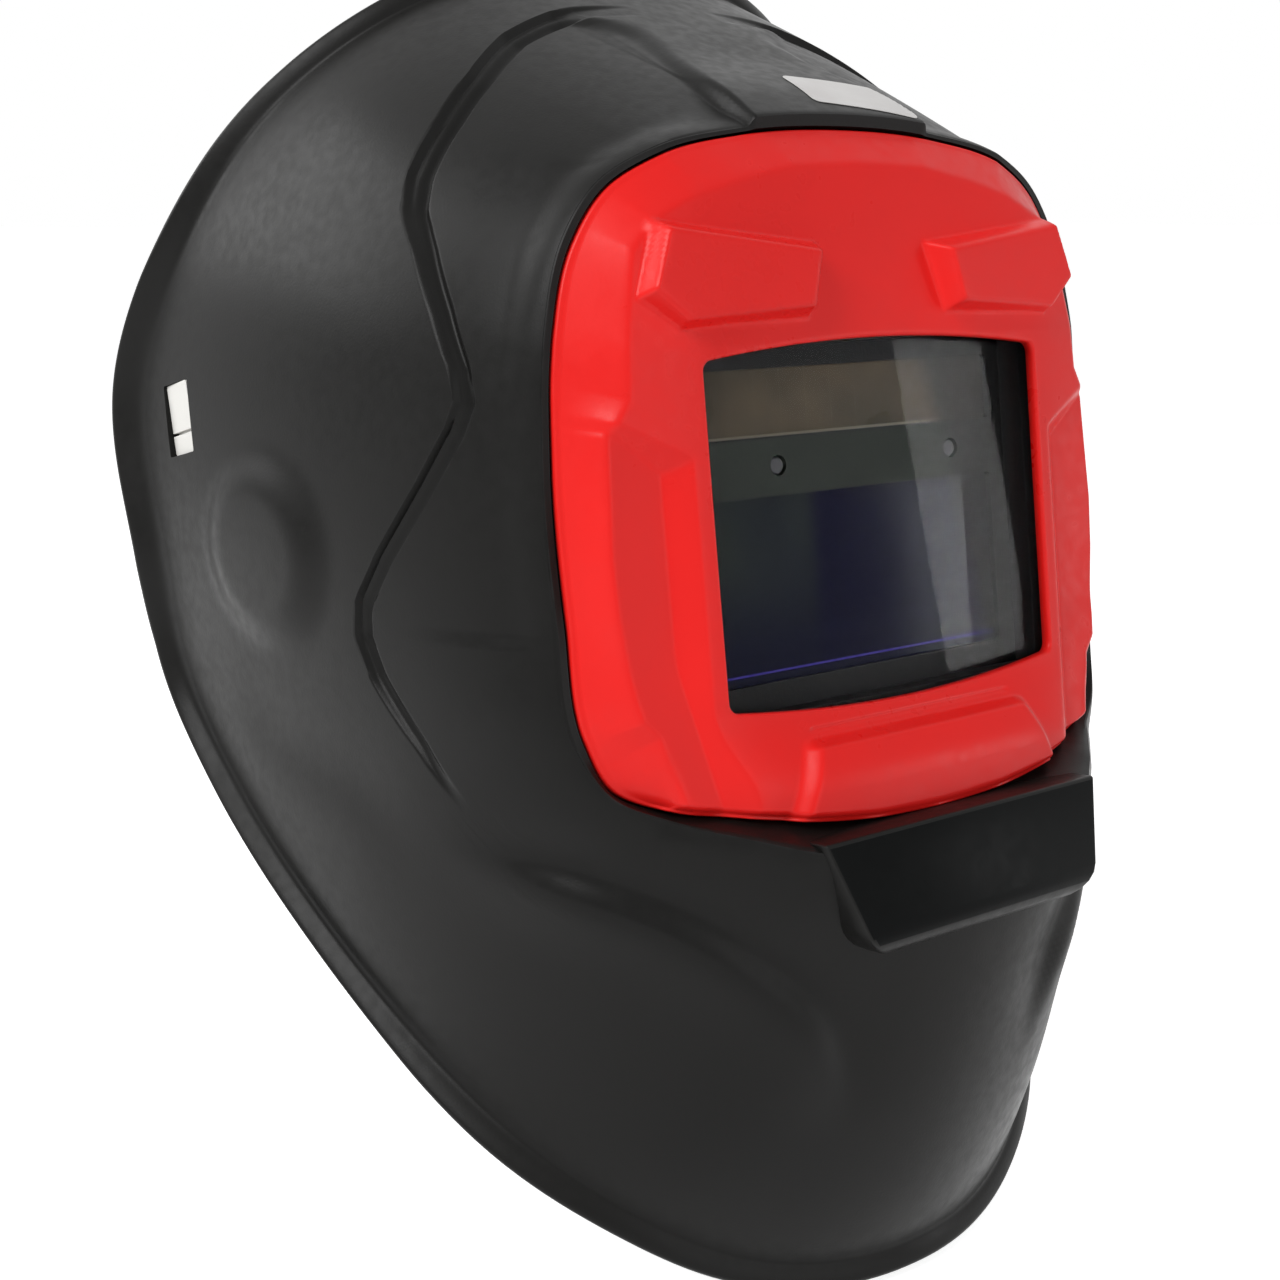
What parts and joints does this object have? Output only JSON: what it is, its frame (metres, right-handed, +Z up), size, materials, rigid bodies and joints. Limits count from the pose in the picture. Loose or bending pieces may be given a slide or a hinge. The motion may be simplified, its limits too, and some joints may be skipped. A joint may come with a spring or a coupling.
{
  "type": "welding helmet",
  "caption": "Auto-darkening welding helmet: black one-piece shell, red front bezel round a dark filter window, on a ratcheting head harness with side pivots.",
  "frame": {"origin": "on the side pivots' common axis, midway between them", "axes": "the wearer looks along -Y, +Z is up and +X is the wearer's left"},
  "size_m": [0.2386, 0.3064, 0.3243],
  "materials": {
    "shell_black": "satin moulded nylon",
    "bezel_red": "glossy moulded",
    "black_plastic": "fine moulded grain",
    "screw_steel": "zinc plated",
    "clear_lens": "clear polycarbonate",
    "filter_glass": "dark green coated",
    "lcd_glass": "dark blue",
    "solar": "thin-film cells",
    "board": "green solder mask",
    "sensor": "clear domed",
    "battery_steel": "nickel plated",
    "knob_grey": "fine texture",
    "button_red": "smooth",
    "lug_nylon": "natural nylon",
    "washer_nylon": "natural nylon",
    "strap_plastic": "flexible polyethylene",
    "sweat_fabric": "brushed cotton over foam",
    "pad_foam": "knitted cover over foam"
  },
  "bodies": {
    "headgear": {"forehead_band": "strap_plastic", "ratchet_housing": "black_plastic", "ratchet_cover": "black_plastic", "rear_pad": "pad_foam", "sweatband": "sweat_fabric", "crown_strap_left": "strap_plastic", "crown_strap_right": "strap_plastic", "crown_peg": "lug_nylon", "pivot_bridge_left": "black_plastic", "pivot_bridge_right": "black_plastic", "pivot_pin_left": "black_plastic", "pivot_pin_right": "black_plastic", "friction_washer_left": "washer_nylon", "friction_washer_right": "washer_nylon", "angle_stop_left": "black_plastic", "angle_stop_right": "black_plastic"},
    "visor": {"shell": "shell_black", "front_bezel": "bezel_red", "bezel_screws": "screw_steel", "lens_tray": "black_plastic", "tray_screws": "screw_steel", "cover_lens": "clear_lens", "filter_front_case": "black_plastic", "filter_rear_case": "black_plastic", "solar_panel": "solar", "uv_filter_glass": "filter_glass", "lcd_cell": "lcd_glass", "circuit_board": "board", "arc_sensor_left": "sensor", "arc_sensor_right": "sensor", "battery_left": "battery_steel", "battery_right": "battery_steel", "control_pots": "black_plastic", "inner_cover_lens": "clear_lens", "pivot_lug_left": "lug_nylon", "pivot_lug_right": "lug_nylon"},
    "shade_control": {"shade_knob": "knob_grey"},
    "sensitivity_control": {"sensitivity_knob": "knob_grey"},
    "delay_control": {"delay_knob": "knob_grey"},
    "test_push_button": {"test_button": "button_red"},
    "latch_left": {"filter_latch_left": "black_plastic"},
    "latch_right": {"filter_latch_right": "black_plastic"},
    "tension_nut_left": {"tension_knob_left": "knob_grey"},
    "tension_nut_right": {"tension_knob_right": "knob_grey"},
    "ratchet_dial": {"ratchet_knob": "knob_grey", "ratchet_pinion": "black_plastic"},
    "strap_end_left": {"rack_strap_left": "strap_plastic"},
    "strap_end_right": {"rack_strap_right": "strap_plastic"}
  },
  "joints": [
    {"name": "visor_tilt", "type": "hinge", "parent": "headgear", "child": "visor", "pos_m": [0, 0, 0], "axis": [-1, 0, 0], "range_deg": [0, 70]},
    {"name": "shade_turn", "type": "hinge", "parent": "visor", "child": "shade_control", "pos_m": [0, -0.13601, 0.01071], "axis": [0, -0.9898, 0.1426], "range_deg": [-135, 135]},
    {"name": "sensitivity_turn", "type": "hinge", "parent": "visor", "child": "sensitivity_control", "pos_m": [-0.024, -0.13601, 0.01071], "axis": [0, -0.9898, 0.1426], "range_deg": [-135, 135]},
    {"name": "delay_turn", "type": "hinge", "parent": "visor", "child": "delay_control", "pos_m": [0.024, -0.13601, 0.01071], "axis": [0, -0.9898, 0.1426], "range_deg": [-135, 135]},
    {"name": "test_press", "type": "slide", "parent": "visor", "child": "test_push_button", "axis": [0, -0.9898, 0.1426], "range_m": [0, 0.001], "stiffness_N_per_m": 400, "springref_m": -0.0005},
    {"name": "latch_left_slide", "type": "slide", "parent": "visor", "child": "latch_left", "axis": [1, 0, 0], "range_m": [0, 0.006]},
    {"name": "latch_right_slide", "type": "slide", "parent": "visor", "child": "latch_right", "axis": [-1, 0, 0], "range_m": [0, 0.006]},
    {"name": "tension_left_turn", "type": "hinge", "parent": "headgear", "child": "tension_nut_left", "pos_m": [0, 0, 0], "axis": [1, 0, 0], "range_deg": [-180, 180]},
    {"name": "tension_right_turn", "type": "hinge", "parent": "headgear", "child": "tension_nut_right", "pos_m": [0, 0, 0], "axis": [-1, 0, 0], "range_deg": [-180, 180]},
    {"name": "ratchet_turn", "type": "hinge", "parent": "headgear", "child": "ratchet_dial", "pos_m": [0, 0.10531, -0.0074], "axis": [0, 0.9848, -0.1736], "range_deg": [-90, 90]},
    {"name": "strap_left_slide", "type": "slide", "parent": "headgear", "child": "strap_end_left", "axis": [1, 0, 0], "range_m": [-0.0079, 0.0079]},
    {"name": "strap_right_slide", "type": "slide", "parent": "headgear", "child": "strap_end_right", "axis": [1, 0, 0], "range_m": [-0.0079, 0.0079]}
  ],
  "couplings": [
    {"joint": "strap_left_slide", "follows": "ratchet_turn", "m_per_rad": 0.005},
    {"joint": "strap_right_slide", "follows": "ratchet_turn", "m_per_rad": -0.005}
  ]
}
